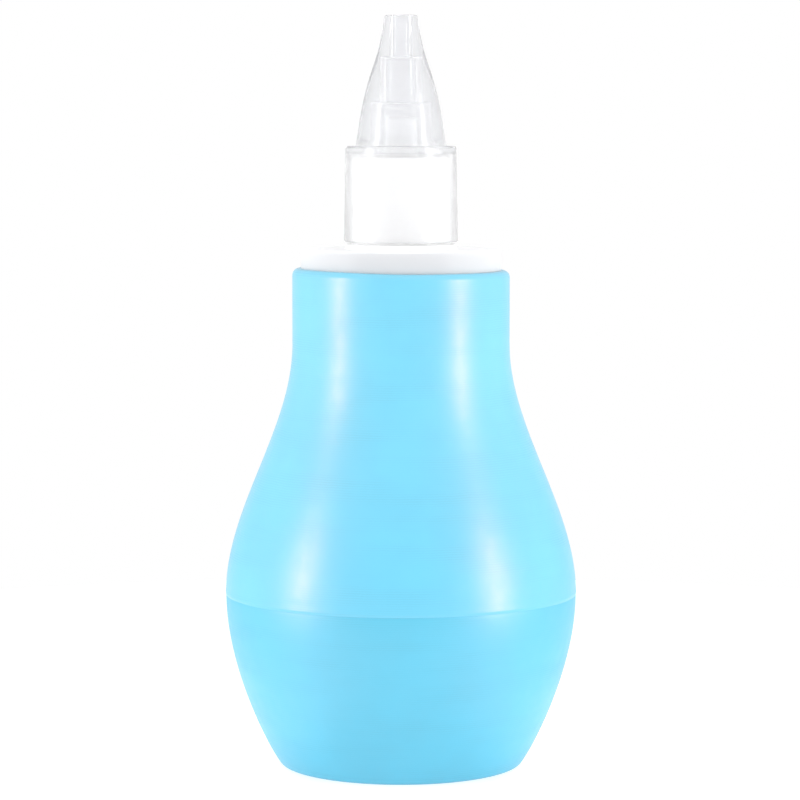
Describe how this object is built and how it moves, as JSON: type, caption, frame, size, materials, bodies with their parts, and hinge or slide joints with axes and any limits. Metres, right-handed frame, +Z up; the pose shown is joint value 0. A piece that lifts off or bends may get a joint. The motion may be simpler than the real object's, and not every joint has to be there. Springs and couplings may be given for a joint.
{
  "type": "nasal aspirator",
  "caption": "Bulb nasal aspirator: soft squeeze bulb with a flat base, push-in plastic collar with a hollow spigot, and a clear tapered nozzle that pulls off.",
  "frame": {"origin": "centre of the bulb's flat base, on the surface that it stands on", "axes": "+Z up along the common axis of the bulb, collar and nozzle; the part is round about Z, so +X and +Y are free"},
  "size_m": [0.053, 0.053, 0.1129],
  "materials": {
    "clear_silicone": "clear silicone, smooth moulded skin",
    "collar_plastic": "translucent white polypropylene, satin",
    "tube_plastic": "translucent white polypropylene, satin",
    "bulb_rubber": "soft sky blue rubber, satin with fine moulding lines",
    "bulb_lower_rubber": "soft sky blue rubber, satin"
  },
  "bodies": {
    "bulb_base": {"bulb_lower": "bulb_lower_rubber"},
    "bulb_top": {"bulb_upper": "bulb_rubber"},
    "collar": {"collar": "collar_plastic", "anti_reflux_tube": "tube_plastic"},
    "nozzle": {"nozzle": "clear_silicone"}
  },
  "joints": [
    {"name": "bulb_squeeze", "type": "slide", "parent": "bulb_base", "child": "bulb_top", "axis": [0, 0, -1], "range_m": [0, 0.012], "stiffness_N_per_m": 1800, "deforming": ["bulb_upper"]},
    {"name": "collar_pull", "type": "slide", "parent": "bulb_top", "child": "collar", "axis": [0, 0, 1], "range_m": [0, 0.02]},
    {"name": "nozzle_pull", "type": "slide", "parent": "collar", "child": "nozzle", "axis": [0, 0, 1], "range_m": [0, 0.022]}
  ]
}
